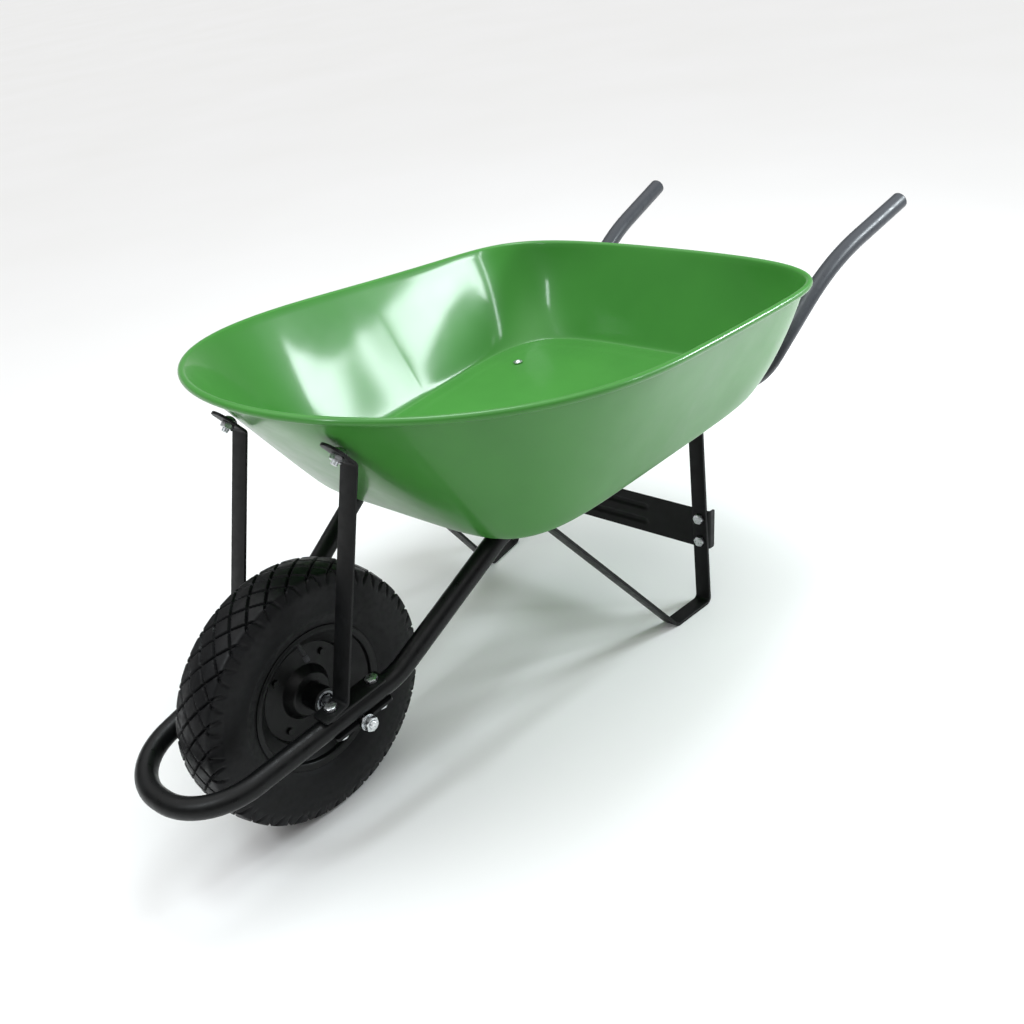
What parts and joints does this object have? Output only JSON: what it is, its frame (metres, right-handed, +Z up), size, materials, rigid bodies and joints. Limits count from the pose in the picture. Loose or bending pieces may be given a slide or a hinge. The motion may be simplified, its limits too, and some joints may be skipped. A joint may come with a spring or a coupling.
{
  "type": "wheelbarrow",
  "caption": "Builder's wheelbarrow with a deep pressed-steel tray, a bent tube frame with handles, strap legs and a free-turning pneumatic wheel.",
  "frame": {"origin": "centre of the object's box on the ground it stands on", "axes": "+X forward to the wheel, +Y to the left of someone who pushes it, +Z up"},
  "size_m": [1.6504, 0.7656, 0.6523],
  "materials": {
    "green_paint": "gloss enamel",
    "black_paint": "semi-gloss black powder coat",
    "grip_coating": "dipped grey grip",
    "zinc_plate": "bright zinc plate",
    "bearing_steel": "ground steel",
    "tyre_rubber": "moulded rubber",
    "tube_rubber": "smooth butyl rubber",
    "wire": "drawn wire"
  },
  "bodies": {
    "chassis": {"tray": "green_paint", "rim_wire": "wire", "frame_tube": "black_paint", "handle_caps": "grip_coating", "front_brace_left": "black_paint", "front_brace_right": "black_paint", "top_plate_left": "black_paint", "top_plate_right": "black_paint", "axle_bracket_left": "black_paint", "axle_bracket_right": "black_paint", "leg_left": "black_paint", "leg_right": "black_paint", "leg_cross_brace": "black_paint", "axle": "zinc_plate", "axle_nuts": "zinc_plate", "axle_washers": "zinc_plate", "axle_spacers": "zinc_plate", "bearing_inner_races": "bearing_steel", "brace_bolts": "zinc_plate", "brace_nuts": "zinc_plate", "bracket_bolts": "zinc_plate", "bracket_nuts": "zinc_plate", "tray_bolts": "zinc_plate", "tray_washers": "zinc_plate", "tray_nuts": "zinc_plate", "cross_brace_bolts": "zinc_plate", "cross_brace_nuts": "zinc_plate"},
    "wheel": {"tyre": "tyre_rubber", "inner_tube": "tube_rubber", "rim_disc_left": "black_paint", "rim_disc_right": "black_paint", "rim_disc_bolts": "black_paint", "rim_disc_nuts": "black_paint", "hub_tube": "black_paint", "bearing_outer_races": "bearing_steel", "bearing_balls": "bearing_steel", "valve_stem": "tube_rubber", "valve_cap": "tube_rubber"}
  },
  "joints": [
    {"name": "wheel_spin", "type": "hinge", "parent": "chassis", "child": "wheel", "pos_m": [0.55536, 0, 0.198], "axis": [0, 1, 0], "continuous": true}
  ]
}
